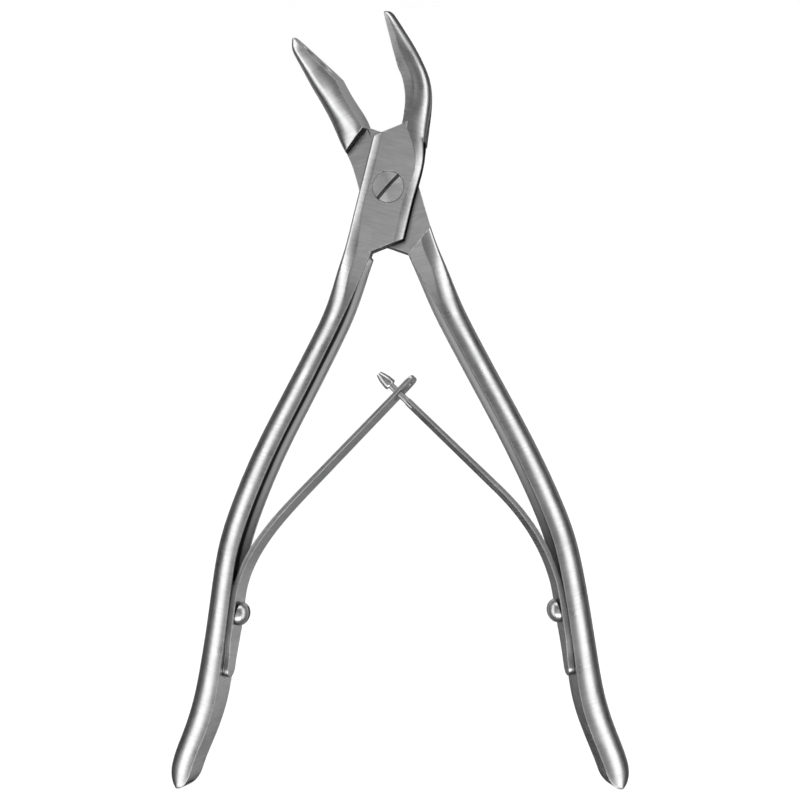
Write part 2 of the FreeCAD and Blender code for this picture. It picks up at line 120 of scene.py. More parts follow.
# Leaf springs
leaf_thickness = 1.15
leaf_tip_thickness = 0.7
leaf_width = 4.9
leaf_end_width = 3.4
leaf_tip_width = 4.3
leaf_end_gap = 0.3
leaf_angle = 30.0
leaf_crossing = 39.5
leaf_crossing_side = 1.2
leaf_straight = 27.0
leaf_tip_reach = 4.4
leaf_foot_flare = 10.0
leaf_taper_start = 12.0
leaf_flare_shares = (0.3, 0.5, 0.75, 1.0)
leaf_steps = 24
leaf_edge = 0.12
leaf_end_angles = (12, 20, 30, 40, 50, 60, 70, 80, 90)
leaf_seat_clearance = 0.06
leaf_tip_round = 1.3
leaf_tip_angles = (0, 25, 45, 62, 76, 90)
leaf_tip_least = 0.45

# Hook that links the leaves
hook_slot_width = 1.7
hook_slot_before = 1.6
hook_slot_after = 3.2
hook_slot_reach = 2.0
hook_shoulder = 2.8
hook_neck_diameter = 1.3
hook_head_start = 2.2
hook_head_length = 3.3
hook_head_diameter = 2.4
hook_head_tip_diameter = 1.1
hook_head_edge = 0.2
hook_steps = 12

# Screws
screw_head_diameter = 6.0
screw_head_depth = 1.8
screw_head_rise = 0.4
screw_head_clearance = 0.1
screw_shank_diameter = 4.0
screw_thread_diameter = 3.4
screw_slot_width = 0.65
screw_slot_depth = 0.75
screw_slot_angle = 47.0
screw_crown_steps = 19
spring_screw_station = 86.8
leaf_lift_before_screw = 2.6
leaf_lift = spring_screw_station - leaf_lift_before_screw
spring_screw_head_clearance = 0.2
spring_screw_sizes = {
    "Head diameter": 4.6, "Head height": 1.9, "Slot width": 0.6, "Slot depth": 0.7,
    "Shank diameter": 2.2, "Length": leaf_thickness + 3.2,
}
dome_rings = 48
shank_overlap = 0.3

# Jaws
bite_angle = 30.0
bite_offset = 8.9
bite_clearance = 0.04
bite_cant = 19.0
bite_start = 22.3
bite_cut_start = 17.0
bite_allowance = 1.0
jaw_land = 0.5
sharp_tip_sections = 2
cup_start = 23.9
cup_end = 32.3
cup_radius = 1.45
cup_steps = 24
cup_segments = 48

# Throat of a jaw: x and y of the inner and the outer point, depth, share of the cant
# Bite of a jaw: place along the closing line, width, depth. Land of a jaw: crease, crown and dome
right_throat = (
    (-0.1, 12.2, 4.65, 11.8, 8.0, 0.15),
    (-0.2, 15.0, 4.4, 15.2, 6.8, 0.35),
    (-0.5, 18.0, 3.9, 18.9, 5.6, 0.65),
    (-1.5, 21.0, 2.7, 22.3, 4.9, 1.0),
)
left_throat = (
    (-0.9, 12.2, -6.3, 11.6, 8.0, 0.5),
    (-1.2, 14.7, -6.65, 14.4, 7.0, 0.9),
    (-2.2, 18.0, -7.15, 17.2, 5.9, 1.0),
    (-3.0, 20.8, -7.75, 19.6, 5.1, 1.0),
)
right_bite = (
    (bite_start, 4.1, 4.6),
    (24.5, 3.7, 4.5),
    (27.0, 3.1, 4.2),
    (29.5, 2.35, 3.7),
    (31.6, 1.85, 3.4),
    (33.0, 1.35, 2.9),
    (33.6, 0.95, 2.4),
    (33.82, 0.6, 1.9),
)
left_bite = (
    (bite_start, 5.35, 4.8),
    (24.5, 4.85, 4.6),
    (27.0, 4.05, 4.3),
    (29.5, 3.25, 3.8),
    (31.6, 2.6, 3.5),
    (33.4, 1.8, 2.9),
    (34.5, 0.6, 1.9),
)
right_jaw = (right_throat, right_bite, (28.0, 0.0, 0.0))
left_jaw = (left_throat, left_bite, (4.0, -0.08, 0.13))

# Fineness of the meshes
side_steps = 40
land_steps = 5
skin_step = 0.7
relax_turns = 14
turn_segments = 64
fine_segments = 96
on_axis = 1e-6
strip_corner_steps = 4
strip_corner_limits = (2.2, 1.2)
cut_margin = 1.0
arm_sharp_angle = 24.0
leaf_sharp_angle = 35.0
screw_sharp_angle = 30.0
merge_distance = 2e-6
collapse_distance = 1e-6

# Finishes of the steel: attribute, tone, metallic and roughness. The third is a painted highlight along the
# broken shoulder edges, and the last is painted shade
finishes = (
    ("raw", 0.6, 0.35, 0.6),
    ("ground", 0.42, 0.45, 0.5),
    ("painted_edge_highlight", 0.95, 0.2, 0.5),
    ("shade", 0.03, 1.0, 0.4),
)
# Where they lie: painted shade deep in the hollow and low on the side of the front plate; ground faces and
# the painted edge highlight on faces turned one way
hollow_shade = (1.1, 1.45)
hollow_margin = 1.08
hollow_least = 0.01
side_shade = (7.5, 7.0)
side_shade_start = 3.6
ground_start = 12.5
ground_facing = 0.6
edge_facing = 0.68
# Painted shade on the floor of the screw slots
slot_painted_shade = 0.8
# Grinding lines, bands and cloudy polish: scale and detail, then how far they vary tone or roughness
lines_noise = ((300, 2400, 300), 3.0)
bands_noise = ((60, 170, 60), 2.0)
clouds_noise = ((320, 320, 320), 5.0)
noise_range = (0.3, 0.7)
lines_tone = 0.045
bands_tone = 0.03
clouds_rough = (-0.03, 0.04)
lines_bump_strength = 0.3
lines_bump_distance = 0.00003
edge_samples = 4
steel_tint = (0.0, 0.0, 0.0, 1.0)
turned_twist = 45.0
# Middle line of each jaw, which the grinding lines cross: height and place
grain_handle_start = 14.0
right_jaw_line = ((12.0, 1.5), (22.0, 0.0), (34.0, -8.5))
left_jaw_line = ((12.0, -3.5), (22.0, -5.5), (34.0, -9.5))

# Camera
camera_yaw = 3.55
camera_pitch = -1.64
camera_roll = 0.96
camera_distance = 251.8
camera_target = (2.0, -41.0, 6.0)
camera_clip = (0.01, 20.0)
focal_pixels = 1310.2
picture_size = 800
picture_centre = (402.67, 400.63)
sensor_width = 36.0

# Lighting: name, place, size and brightness of each soft box, in metres
soft_boxes = (
    ("left_strip", (-0.37, -0.04, 0.2), (0.9, 0.19), 2.2),
    ("right_strip", (0.37, -0.04, 0.2), (0.9, 0.19), 2.2),
    ("top_box", (0.0, 0.5, 0.2), (0.6, 0.2), 3.2),
    ("low_box", (0.0, -0.46, 0.36), (0.6, 0.25), 4.4),
)
lamp_aim = (0, -0.04, 0)
world_heights = (0.9, 0.99)
world_strengths = (0.16, 0.7)
# Backdrop: depth below the joint, half width, radii between which a painted pool of light fades from white to
# painted grey shade, and its tones
backdrop_depth = 0.15
backdrop_reach = 3.0
painted_light_pool = (0.2, 0.29)
painted_pool_tones = (0.97, 0.14)
paper_roughness = 0.9


def sine(angle):
    return math.sin(math.radians(angle))


def cosine(angle):
    return math.cos(math.radians(angle))


def polar(angle, length=1.0):
    """Return the plan vector of a length at an angle from +X."""
    return Vector((cosine(angle), sine(angle), 0)) * length


def ease(value, low, high):
    """Return 0 below low, 1 above high and an S curve between them."""
    share = min(max((value - low) / (high - low), 0.0), 1.0)
    return share * share * (3 - 2 * share)


def curve_weights(share):
    """Return what a start, its slope, an end and its slope count for on a smooth curve between them."""
    return (2 * share ** 3 - 3 * share ** 2 + 1, share ** 3 - 2 * share ** 2 + share,
            3 * share ** 2 - 2 * share ** 3, share ** 3 - share ** 2)


def smooth(stations, where):
    """Return the columns of the stations at a distance, on a smooth curve through all of them."""
    last = len(stations) - 1
    index = 0
    while index < last - 1 and where > stations[index + 1][0]:
        index += 1
    start = stations[index]
    end = stations[index + 1]
    before = stations[max(index - 1, 0)]
    after = stations[min(index + 2, last)]
    span = end[0] - start[0]
    share = min(max((where - start[0]) / span, 0.0), 1.0)
    first, rise, second, fall = curve_weights(share)
    columns = []
    for column in range(1, len(start)):
        slope_in = (end[column] - before[column]) / (end[0] - before[0])
        slope_out = (after[column] - start[column]) / (after[0] - start[0])
        columns.append(first * start[column] + rise * span * slope_in
                       + second * end[column] + fall * span * slope_out)
    return columns


def rounded_share(inside, length):
    """Return the share of the full width a rounded end has at a distance inside its limit."""
    return math.sqrt(max(1 - ((length - min(inside, length)) / length) ** 2, 0.0))


class Station:
    """A section plane: its origin on the inner face, the outward axis and the axis towards the front."""

    def __init__(self, origin, outward, roll):
        self.origin = Vector((origin.x, origin.y, joint_middle))
        self.outward = outward * cosine(roll) - UP * sine(roll)
        self.front = UP * cosine(roll) + outward * sine(roll)

    def point(self, out, forward):
        return self.origin + self.outward * out + self.front * forward


def corner_points(half_depth, flatter):
    """Return how far out and how high the corner beside the flat of the joint runs, down to the middle."""
    out, height, tilt = 0.0, half_depth, 0.0
    places = [(out, height)]
    for tilt_end, width, steps in corner_arcs:
        tilt_end -= flatter
        start = math.radians(tilt)
        end = math.radians(tilt_end)
        radius = width / (math.sin(end) - math.sin(start))
        for step in range(1, steps + 1):
            angle = start + (end - start) * step / steps
            places.append((out + radius * (math.sin(angle) - math.sin(start)),
                           height - radius * (math.cos(start) - math.cos(angle))))
        out, height = places[-1]
        tilt = tilt_end
    return places + [(out, height / 2), (out, 0.0)]


def half_round(station, width, depth, side_round, inner=0.0, crease=0.0, spare=0.0, corner=0.0, dome=0.0):
    """Return a D shaped section: flat inner face, a land along each rim and a round outer side.

    Spare is what the lands stand proud at the inner rim: the joint is ground flat through it, and on a jaw
    it makes the land slightly convex, so that the round side meets it smoothly. Corner is the share of the
    squarer corner of the joint, and dome the slope by which a land falls away to its inner rim.
    """
    land_width = width - side_round - inner
    limit = math.radians(90 - crease)
    round_depth = depth - spare
    square_corner = corner_points(round_depth / 2, left_corner_flatter if station.outward.x < 0 else 0.0)
    land = []
    for step in range(land_steps):
        share = step / land_steps
        height = round_depth / 2 + spare / 2 * (1 - share ** 2) + dome * land_width * share * (1 - share)
        land.append((inner + land_width * share, height))
    points = [station.point(*place) for place in land]
    for step in range(side_steps + 1):
        angle = limit - 2 * limit * step / side_steps
        reach = (math.cos(angle) - math.cos(limit)) / (1 - math.cos(limit))
        height = round_depth / 2 * math.sin(angle) / math.sin(limit)
        square, level = square_corner[min(step, side_steps - step)]
        reach += (square / joint_side_round - reach) * corner
        height += (math.copysign(level, side_steps / 2 - step) - height) * corner
        points.append(station.point(width - side_round + side_round * reach, height))
    points += [station.point(out, -forward) for out, forward in reversed(land)]
    return points


def strip_section(station, thick, half):
    """Return the section of a leaf: a rectangle with rounded corners."""
    corner = min(leaf_edge, thick / strip_corner_limits[0], half / strip_corner_limits[1])
    inset = thick / 2 - corner
    centres = ((inset, half - corner, 90), (inset, corner - half, 0),
               (-inset, corner - half, -90), (-inset, half - corner, -180))
    points = []
    for out, forward, start in centres:
        for step in range(strip_corner_steps + 1):
            angle = start - 90 * step / strip_corner_steps
            points.append(station.point(out + corner * cosine(angle), forward + corner * sine(angle)))
    return points


def rows_between(rows, steps, spots):
    """Return the rows of points at the spots, on natural cubic curves through the given ones."""
    count = len(steps)
    gaps = np.diff(steps)
    rises = np.diff(rows, axis=0) / gaps[:, None, None]
    matrix = np.eye(count)
    right = np.zeros_like(rows)
    for index in range(1, count - 1):
        before, after = gaps[index - 1:index + 1]
        matrix[index, index - 1:index + 2] = (before, 2 * (before + after), after)
        right[index] = 6 * (rises[index] - rises[index - 1])
    bends = np.linalg.solve(matrix, right.reshape(count, -1)).reshape(rows.shape)
    found = []
    for spot in spots:
        index = min(max(int(np.searchsorted(steps, spot)) - 1, 0), count - 2)
        gap = gaps[index]
        near = (steps[index + 1] - spot) / gap
        far = (spot - steps[index]) / gap
        row = near * rows[index] + far * rows[index + 1]
        row += ((near ** 3 - near) * bends[index] + (far ** 3 - far) * bends[index + 1]) * gap ** 2 / 6
        found.append(row)
    return found


def add_object(name, data):
    made = bpy.data.objects.new(name, data)
    bpy.context.collection.objects.link(made)
    return made


def new_object(name, points, faces):
    """Return an object from points in millimetres, with its faces turned outwards."""
    mesh = bpy.data.meshes.new(name)
    mesh.from_pydata([tuple(point) for point in points], [], faces)
    work = bmesh.new()
    work.from_mesh(mesh)
    bmesh.ops.recalc_face_normals(work, faces=work.faces)
    if work.calc_volume(signed=True) < 0:
        bmesh.ops.reverse_faces(work, faces=work.faces)
    work.to_mesh(mesh)
    work.free()
    return add_object(name, mesh)


def closed_body(name, rows):
    """Return the body whose sides join rows of matching points, with an end face on the outer rows."""
    around = len(rows[0])
    last = (len(rows) - 1) * around
    faces = []
    for low in range(0, last, around):
        high = low + around
        for index in range(around):
            after = (index + 1) % around
            faces.append((low + index, low + after, high + after, high + index))
    faces += [tuple(range(around)), tuple(range(last, last + around))]
    return new_object(name, [point for row in rows for point in row], faces)


def skin(name, sections, relaxed=None):
    """Return the closed body whose sides run smoothly through sections with matching points.

    Relaxed names the first and last section between which the rows are evened out.
    """
    rows = np.array([[tuple(point) for point in section] for section in sections])
    centres = rows.mean(axis=1)
    steps = np.concatenate(([0.0], np.cumsum(np.linalg.norm(np.diff(centres, axis=0), axis=1))))
    spots = []
    for start, end in zip(steps, steps[1:]):
        parts = max(1, int(math.ceil((end - start) / skin_step)))
        spots += [start + (end - start) * part / parts for part in range(parts)]
    spots.append(steps[-1])
    found = rows_between(rows, steps, spots)
    if relaxed:
        inside = [index for index, spot in enumerate(spots) if steps[relaxed[0]] < spot < steps[relaxed[1]]]
        for _ in range(relax_turns):
            kept = list(found)
            for index in inside:
                found[index] = (kept[index - 1] + 2 * kept[index] + kept[index + 1]) / 4
    return closed_body(name, found)


def prism(name, corners, low, high):
    """Return the upright block over a plan outline."""
    return closed_body(name, [[(corner.x, corner.y, height) for corner in corners] for height in (low, high)])


def rectangle(left, low, right, high):
    """Return the corners of a rectangle in plan."""
    return [Vector((*corner, 0)) for corner in ((left, low), (right, low), (right, high), (left, high))]


def axes(first, second, third):
    """Return the matrix that turns X, Y and Z to the given directions."""
    return Matrix((first, second, third)).transposed().to_4x4()


def slab(direction, near, far, low, high):
    """Return the block between two distances along a plan direction."""
    along = direction.normalized()
    across = Vector((-along.y, along.x, 0))
    corners = [along * corner.x + across * corner.y for corner in rectangle(near, -FAR, far, FAR)]
    return prism("slab", corners, low, high)


def lathe(name, profile, segments=turn_segments):
    """Return the body turned about +Z from pairs of radius and height."""
    points = []
    rings = []
    for radius, height in profile:
        if radius < on_axis:
            rings.append([len(points)])
            points.append((0, 0, height))
            continue
        rings.append(list(range(len(points), len(points) + segments)))
        for segment in range(segments):
            angle = 2 * math.pi * segment / segments
            points.append((radius * math.cos(angle), radius * math.sin(angle), height))
    faces = []
    for low, high in zip(rings, rings[1:]):
        for segment in range(segments):
            after = segment + 1
            corners = [ring[place % len(ring)] for ring, place in
                       ((low, segment), (low, after), (high, after), (high, segment))]
            faces.append(tuple(dict.fromkeys(corners)))
    return new_object(name, points, faces)


def settle(target):
    """Apply every modifier of an object to its mesh."""
    depsgraph = bpy.context.evaluated_depsgraph_get()
    mesh = bpy.data.meshes.new_from_object(target.evaluated_get(depsgraph))
    target.modifiers.clear()
    target.data = mesh
    return target


def carve(target, tool, operation="DIFFERENCE"):
    """Cut a tool out of an object, or join it on, and drop the tool."""
    modifier = target.modifiers.new("carve", "BOOLEAN")
    modifier.operation = operation
    modifier.solver = "MANIFOLD"
    modifier.object = tool
    settle(target)
    bpy.data.objects.remove(tool)
    return target


def handle_size(side, below):
    """Return the outer face, width and depth of a handle at a distance below the axis."""
    depth, *sizes = smooth(handles, below)
    outer, width = sizes[2:] if side > 0 else sizes[:2]
    left = handle_length - below
    if left < handle_tip_round:
        share = max(rounded_share(left, handle_tip_round), tip_least_share)
        centre = outer - width / 2
        outer = centre + width * share / 2
        width *= share
        depth *= tip_depth_share + (1 - tip_depth_share) * share
    return outer, width, depth


def handle_station(side, below):
    outer, width = handle_size(side, below)[:2]
    roll = handle_roll * ease(below, roll_start, roll_end)
    return Station(Vector((side * (outer - width), -below, 0)), Vector((side, 0, 0)), roll)


def handle_levels():
    """Return where the sections of a handle lie: thirds of the neck, stations, middles and the tip."""
    levels = [station[0] for station in handles[:-1]]
    neck = (levels[1] - levels[0]) / 3
    middles = [(start[0] + end[0]) / 2 for start, end in zip(handles[1:], handles[2:])]
    tip = handle_length - handle_tip_round
    ends = [tip + handle_tip_round * sine(angle) for angle in tip_angles]
    return sorted(levels + [levels[0] + neck, levels[0] + 2 * neck] + middles + ends)


def joint_sections(side, half_width, up):
    """Return the sections of the joint. Up is 1 when the body goes on below it and -1 when above."""
    depth = joint_thickness + grinding_allowance
    sections = []
    for level in joint_levels:
        station = Station(Vector((-side * joint_overlap, up * level, 0)), Vector((side, 0, 0)), 0.0)
        sections.append(half_round(station, half_width + joint_overlap, depth, joint_side_round,
                                   spare=grinding_allowance, corner=1.0))
    return sections


def handle_body(side, half_width):
    sections = joint_sections(side, half_width, 1)
    for below in handle_levels():
        width, depth = handle_size(side, below)[1:]
        corner = 1 - ease(below, roll_start, roll_end)
        land = max(rim_land, (width - joint_side_round) * corner)
        side_round = width - min(land, width / 2)
        sections.append(half_round(handle_station(side, below), width, depth, side_round, corner=corner))
    return skin("handle", sections)


def bite_point(along):
    return polar(90 + bite_angle, along) + polar(bite_angle, bite_offset)


def jaw_body(side, half_width):
    throat, bite, (ridge, crown, dome) = right_jaw if side > 0 else left_jaw
    cant = -side * bite_cant
    sections = joint_sections(side, half_width, -1)
    for number, (*places, section_depth, lean_share) in enumerate(throat):
        inner = Vector((*places[:2], 0))
        outward = Vector((*places[2:], 0)) - inner
        lean = cant * lean_share
        width = outward.length / cosine(lean)
        share = (number + 1.0) / len(throat)
        station = Station(inner, outward.normalized(), lean)
        side_round = width * (1 - jaw_land * share)
        spare = grinding_allowance + (2 * crown - grinding_allowance) * share
        sections.append(half_round(station, width, section_depth + spare, side_round, crease=ridge * share,
                                   spare=spare, corner=(1 - share) ** 2, dome=dome * min(2 * share, 1.0)))
    outward = polar(bite_angle) * side
    for along, plan_width, section_depth in bite:
        station = Station(bite_point(along), outward, cant)
        width = plan_width / cosine(cant)
        spare = bite_allowance * ease(along, bite_start, bite_start + bite_allowance)
        side_round = width * (1 - jaw_land)
        sections.append(half_round(station, width, section_depth + 2 * crown, side_round, inner=-spare,
                                   crease=ridge, spare=2 * crown, dome=dome))
    return skin("jaw", sections, relaxed=(len(joint_levels) - 1, len(sections) - 1 - sharp_tip_sections))


def bite_frame():
    """Return the matrix of the bite plane: X across it to the right, Y along it to the tips."""
    station = Station(bite_point(0.0), polar(bite_angle), -bite_cant)
    along = polar(90 + bite_angle)
    return Matrix.Translation(station.origin) @ axes(station.outward, along, station.front)


def bite_cut(side):
    near = side * bite_clearance / 2
    left, right = sorted((near, near - side * FAR))
    block = prism("bite", rectangle(left, bite_cut_start, right, FAR), -FAR, FAR)
    block.data.transform(bite_frame())
    return block


def cup():
    half = (cup_end - cup_start) / 2
    round_radius = (half ** 2 + cup_radius ** 2) / (2 * cup_radius)
    profile = []
    for step in range(cup_steps + 1):
        place = -half + 2 * half * step / cup_steps
        radius = math.sqrt(round_radius ** 2 - place ** 2) - (round_radius - cup_radius)
        profile.append((max(radius, 0.0), place))
    piece = lathe("cup", profile, cup_segments)
    piece.data.transform(Matrix.Rotation(math.radians(-90), 4, "X"))
    piece.data.transform(Matrix.Translation((0, (cup_start + cup_end) / 2, 0)))
    piece.data.transform(bite_frame())
    return piece


def hollow_size(side, below):
    """Return the depth and the half height of the hollow at a distance below the axis."""
    width, depth = handle_size(side, below)[1:]
    share = rounded_share(min(below - hollow_start, hollow_end - below), hollow_run_out)
    return (width - hollow_wall) * share, depth / 2 - hollow_rim


def hollow(side):
    span = (hollow_end - hollow_start - 2 * hollow_run_out) / hollow_steps
    levels = [hollow_start + hollow_run_out * share for share in hollow_end_shares]
    levels += [hollow_start + hollow_run_out + span * step for step in range(hollow_steps + 1)]
    levels += [hollow_end - hollow_run_out * share for share in reversed(hollow_end_shares)]
    sections = []
    for below in levels:
        deep, half = hollow_size(side, below)
        station = handle_station(side, below)
        sections.append(half_round(station, deep, 2 * half, deep, inner=-cut_margin))
    return skin("hollow", sections)


def seat(side):
    half = seat_width / 2
    span = (seat_end - half - seat_start) / seat_steps
    levels = [seat_start + span * step for step in range(seat_steps + 1)]
    levels += [seat_end - half + half * sine(angle) for angle in round_end_angles]
    sections = []
    for below in levels:
        share = rounded_share(seat_end - below, half)
        station = handle_station(side, below)
        reach = half * share
        places = ((-cut_margin, reach), (seat_depth, reach), (seat_depth, -reach), (-cut_margin, -reach))
        sections.append([station.point(*place) for place in places])
    return skin("seat", sections)


def shoulder_normal(side):
    return polar(90 + side * shoulder_slope)


def edge_cut(toward):
    """Return the cutter that breaks the top edge of a shoulder of the recess."""
    low = (shoulder_reach - shoulder_edge, joint_thickness - 2 * shoulder_edge)
    high = (shoulder_reach + 2 * shoulder_edge, joint_thickness + shoulder_edge)
    corners = [Vector((*low, 0)), Vector((*high, 0)), Vector((low[0], high[1], 0))]
    cutter = prism("edge_cut", corners, -FAR, FAR)
    cutter.data.transform(axes(toward, UP, toward.cross(UP)))
    return cutter


def arm(side, half_width, recess_low, recess_high):
    """Return an arm in the closed position, ground flat, with its lap recess, hollow, seat and cup."""
    end_normal = shoulder_normal(-side)
    body = handle_body(side, half_width)
    carve(body, hollow(side))
    carve(body, seat(side))
    carve(body, slab(end_normal, plate_reach, FAR, -FAR, FAR))
    jaw = jaw_body(-side, half_width)
    carve(jaw, slab(end_normal * -1, plate_reach, FAR, -FAR, FAR))
    carve(jaw, bite_cut(-side))
    carve(jaw, cup())
    carve(body, jaw, "UNION")
    plan = rectangle(-FAR, -grinding_reach, FAR, FAR)
    carve(body, prism("below", plan, -FAR, 0.0))
    carve(body, prism("above", plan, joint_thickness, FAR))
    across = shoulder_normal(side)
    carve(body, slab(across, -shoulder_reach, shoulder_reach, recess_low, recess_high))
    if side > 0:
        floor = joint_middle - groove_depth
        for toward in (across, across * -1):
            carve(body, slab(toward, shoulder_reach - groove_width, shoulder_reach, floor, joint_thickness))
            carve(body, edge_cut(toward))
    return body


def front_arm():
    body = arm(-1, front_joint_width / 2, -cut_margin, joint_middle + lap_clearance / 2)
    head = screw_head_diameter / 2 + screw_head_clearance
    shank = screw_shank_diameter / 2 + lap_clearance
    floor = joint_thickness - screw_head_depth
    top = joint_thickness + cut_margin
    profile = [(0, -cut_margin), (shank, -cut_margin), (shank, floor), (head, floor), (head, top), (0, top)]
    return carve(body, lathe("screw_hole", profile, fine_segments))


def rear_arm():
    body = arm(1, rear_joint_width / 2, joint_middle - lap_clearance / 2, joint_thickness + cut_margin)
    hole = screw_thread_diameter / 2
    profile = [(0, -cut_margin), (hole, -cut_margin), (hole, thread_hole_top), (0, thread_hole_top)]
    return carve(body, lathe("thread_hole", profile))


def store(obj, name, values, domain="POINT"):
    """Store a number or a vector for every point or face."""
    values = np.asarray(values, np.float32)
    kind, key = ("FLOAT", "value") if values.ndim == 1 else ("FLOAT_VECTOR", "vector")
    attribute = obj.data.attributes.new(name, kind, domain)
    attribute.data.foreach_set(key, values.ravel())


def shade_arm(obj, side):
    """Store painted shade deep in the hollow and low on the side of the front plate, and where the hollow is
    left raw.
    """
    shades = []
    rough = []
    across = shoulder_normal(side)
    for vertex in obj.data.vertices:
        below = -vertex.co.y
        shade = raw = 0.0
        if hollow_start < below < hollow_end:
            station = handle_station(side, below)
            deep, half = hollow_size(side, below)
            out = (vertex.co - station.origin).dot(station.outward)
            forward = (vertex.co - station.origin).dot(station.front)
            if math.hypot(out / max(deep, hollow_least), forward / half) < hollow_margin:
                # Painted shade, growing towards the bottom of the hollow; the hollow's steel is also left raw
                shade = ease(out, *hollow_shade)
                raw = ease(out, 0.0, hollow_shade[0] / 2)
        if side < 0 and vertex.co.x > side_shade_start and abs(vertex.co.dot(across)) < shoulder_reach:
            # Painted shade low on the outer side of the front plate
            shade = 1 - ease(vertex.co.z, side_shade[1], side_shade[0])
        shades.append(shade)
        rough.append(raw)
    store(obj, "shade", shades)
    store(obj, "raw", rough)


def ground_faces(obj, side):
    """Store which faces are ground, the inner side of the jaw, and the broken edges of the shoulders, which
    get a painted highlight.
    """
    ground = []
    painted_edge_highlight = []
    across = shoulder_normal(side)
    for face in obj.data.polygons:
        inward = face.normal.x * side
        ground.append(1.0 if face.center.y > ground_start and inward > ground_facing else 0.0)
        off = face.center.dot(across)
        level = face.normal.dot(across) * (-1 if off > 0 else 1)
        near = abs(abs(off) - shoulder_reach) < 2 * shoulder_edge
        # Painted highlight: the broken top edges of the shoulders are given a bright, dull finish that stands
        # in for light caught there
        painted_edge_highlight.append(1.0 if side > 0 and near and min(level, face.normal.z) > edge_facing else 0.0)
    store(obj, "ground", ground, "FACE")
    store(obj, "painted_edge_highlight", painted_edge_highlight, "FACE")


def grain_values(obj, side):
    """Store the grinding direction: across the arm, along it, and depth, for the brushed finish."""
    values = np.zeros((len(obj.data.vertices), 3), np.float32)
    jaw_line = left_jaw_line if side > 0 else right_jaw_line
    for index, vertex in enumerate(obj.data.vertices):
        x, y, z = vertex.co
        if y < -grain_handle_start:
            outer, width = handle_size(side, min(-y, handle_length))[:2]
            centre = side * (outer - width / 2)
        elif y > jaw_line[0][0]:
            centre = np.interp(y, *zip(*jaw_line))
        else:
            centre = 0.0
        values[index] = (x - centre, y, z)
    store(obj, "grain", values * MM)


def plain_grain(obj):
    values = np.array([vertex.co for vertex in obj.data.vertices], np.float32)
    store(obj, "grain", values * MM)


def finish_mesh(obj, side, angle):
    """Open the arm's angle, go to metres, and shade smooth up to sharp edges."""
    obj.data.transform(Matrix.Rotation(math.radians(side * half_opening), 4, "Z"))
    obj.data.transform(Matrix.Scale(MM, 4))
    work = bmesh.new()
    work.from_mesh(obj.data)
    bmesh.ops.remove_doubles(work, verts=work.verts, dist=merge_distance)
    bmesh.ops.dissolve_degenerate(work, edges=work.edges, dist=collapse_distance)
    limit = math.radians(angle)
    for face in work.faces:
        face.smooth = True
    for edge in work.edges:
        edge.smooth = len(edge.link_faces) == 2 and edge.calc_face_angle(0.0) < limit
    work.to_mesh(obj.data)
    work.free()
    even = obj.modifiers.new("even", "WEIGHTED_NORMAL")
    even.keep_sharp = True
    return settle(obj)


def opened(place, side):
    """Return where a place of the closed arm lies when the arms are open."""
    return Quaternion(UP, math.radians(side * half_opening)) @ place


def crossing_place(side):
    return opened(Vector((leaf_crossing_side, -leaf_crossing, 0)), -side)


def leaf_direction(side):
    return polar(90 + side * leaf_angle)


def seat_middle(side, below):
    out = seat_depth - leaf_seat_clearance - leaf_thickness / 2
    point = handle_station(side, below).point(out, 0.0)
    return Vector((point.x, point.y, 0))


def seat_direction(side, below):
    before = seat_middle(side, below - seat_half_step)
    return (before - seat_middle(side, below + seat_half_step)).normalized()


def leaf_middle(side, travel):
    """Return the middle of the leaf and its direction. Travel is measured back from the crossing."""
    crossing = crossing_place(side)
    direction = leaf_direction(side)
    if travel <= leaf_straight:
        return crossing - direction * travel, direction
    foot = seat_middle(side, leaf_lift)
    top = crossing - direction * leaf_straight
    chord = (foot - top).length
    share = (travel - leaf_straight) / chord
    if share < 1:
        start_slope = direction * -chord
        end_slope = seat_direction(side, leaf_lift) * -chord
        parts = zip((top, start_slope, foot, end_slope), curve_weights(share))
        place = sum((part * weight for part, weight in parts), Vector((0, 0, 0)))
        slope = top * (6 * share ** 2 - 6 * share) + start_slope * (3 * share ** 2 - 4 * share + 1)
        slope += foot * (6 * share - 6 * share ** 2) + end_slope * (3 * share ** 2 - 2 * share)
        return place, slope.normalized() * -1
    below = leaf_lift + (travel - leaf_straight - chord)
    return seat_middle(side, below), seat_direction(side, below)


def leaf_length(side):
    top = crossing_place(side) - leaf_direction(side) * leaf_straight
    chord = (seat_middle(side, leaf_lift) - top).length
    return leaf_straight + chord + (seat_end - leaf_end_gap - leaf_lift)


def leaf_station(side, travel):
    place, direction = leaf_middle(side, travel)
    outward = Vector((direction.y, -direction.x, 0)) * side
    return Station(place, outward, handle_roll)


def leaf(side, tip):
    """Return a leaf. Tip is the distance by which it passes the crossing."""
    total = leaf_length(side)
    rounded = leaf_end_width / 2
    travels = [total - rounded * (1 - cosine(angle)) for angle in leaf_end_angles]
    travels += [total - leaf_foot_flare * share for share in leaf_flare_shares]
    travels += [(total - leaf_foot_flare) * (1 - step / leaf_steps) for step in range(1, leaf_steps)]
    if tip > 0:
        travels.append(0.0)
        travels += [leaf_tip_round * (1 - sine(angle)) - tip for angle in leaf_tip_angles]
    else:
        travels.append(-tip)
    sections = []
    for travel in travels:
        from_end = total - travel
        share = rounded_share(from_end, rounded)
        width = leaf_end_width + (leaf_width - leaf_end_width) * ease(from_end, rounded, leaf_foot_flare)
        width -= (leaf_width - leaf_tip_width) * ease(from_end, leaf_taper_start, total)
        thick = leaf_thickness - (leaf_thickness - leaf_tip_thickness) * min(from_end / total, 1.0)
        if tip > 0:
            rounding = leaf_tip_least + (1 - leaf_tip_least) * rounded_share(travel + tip, leaf_tip_round)
            share *= rounding
            thick *= rounding
        station = leaf_station(side, travel)
        sections.append(strip_section(station, thick, width * share / 2))
    return skin("leaf", sections)


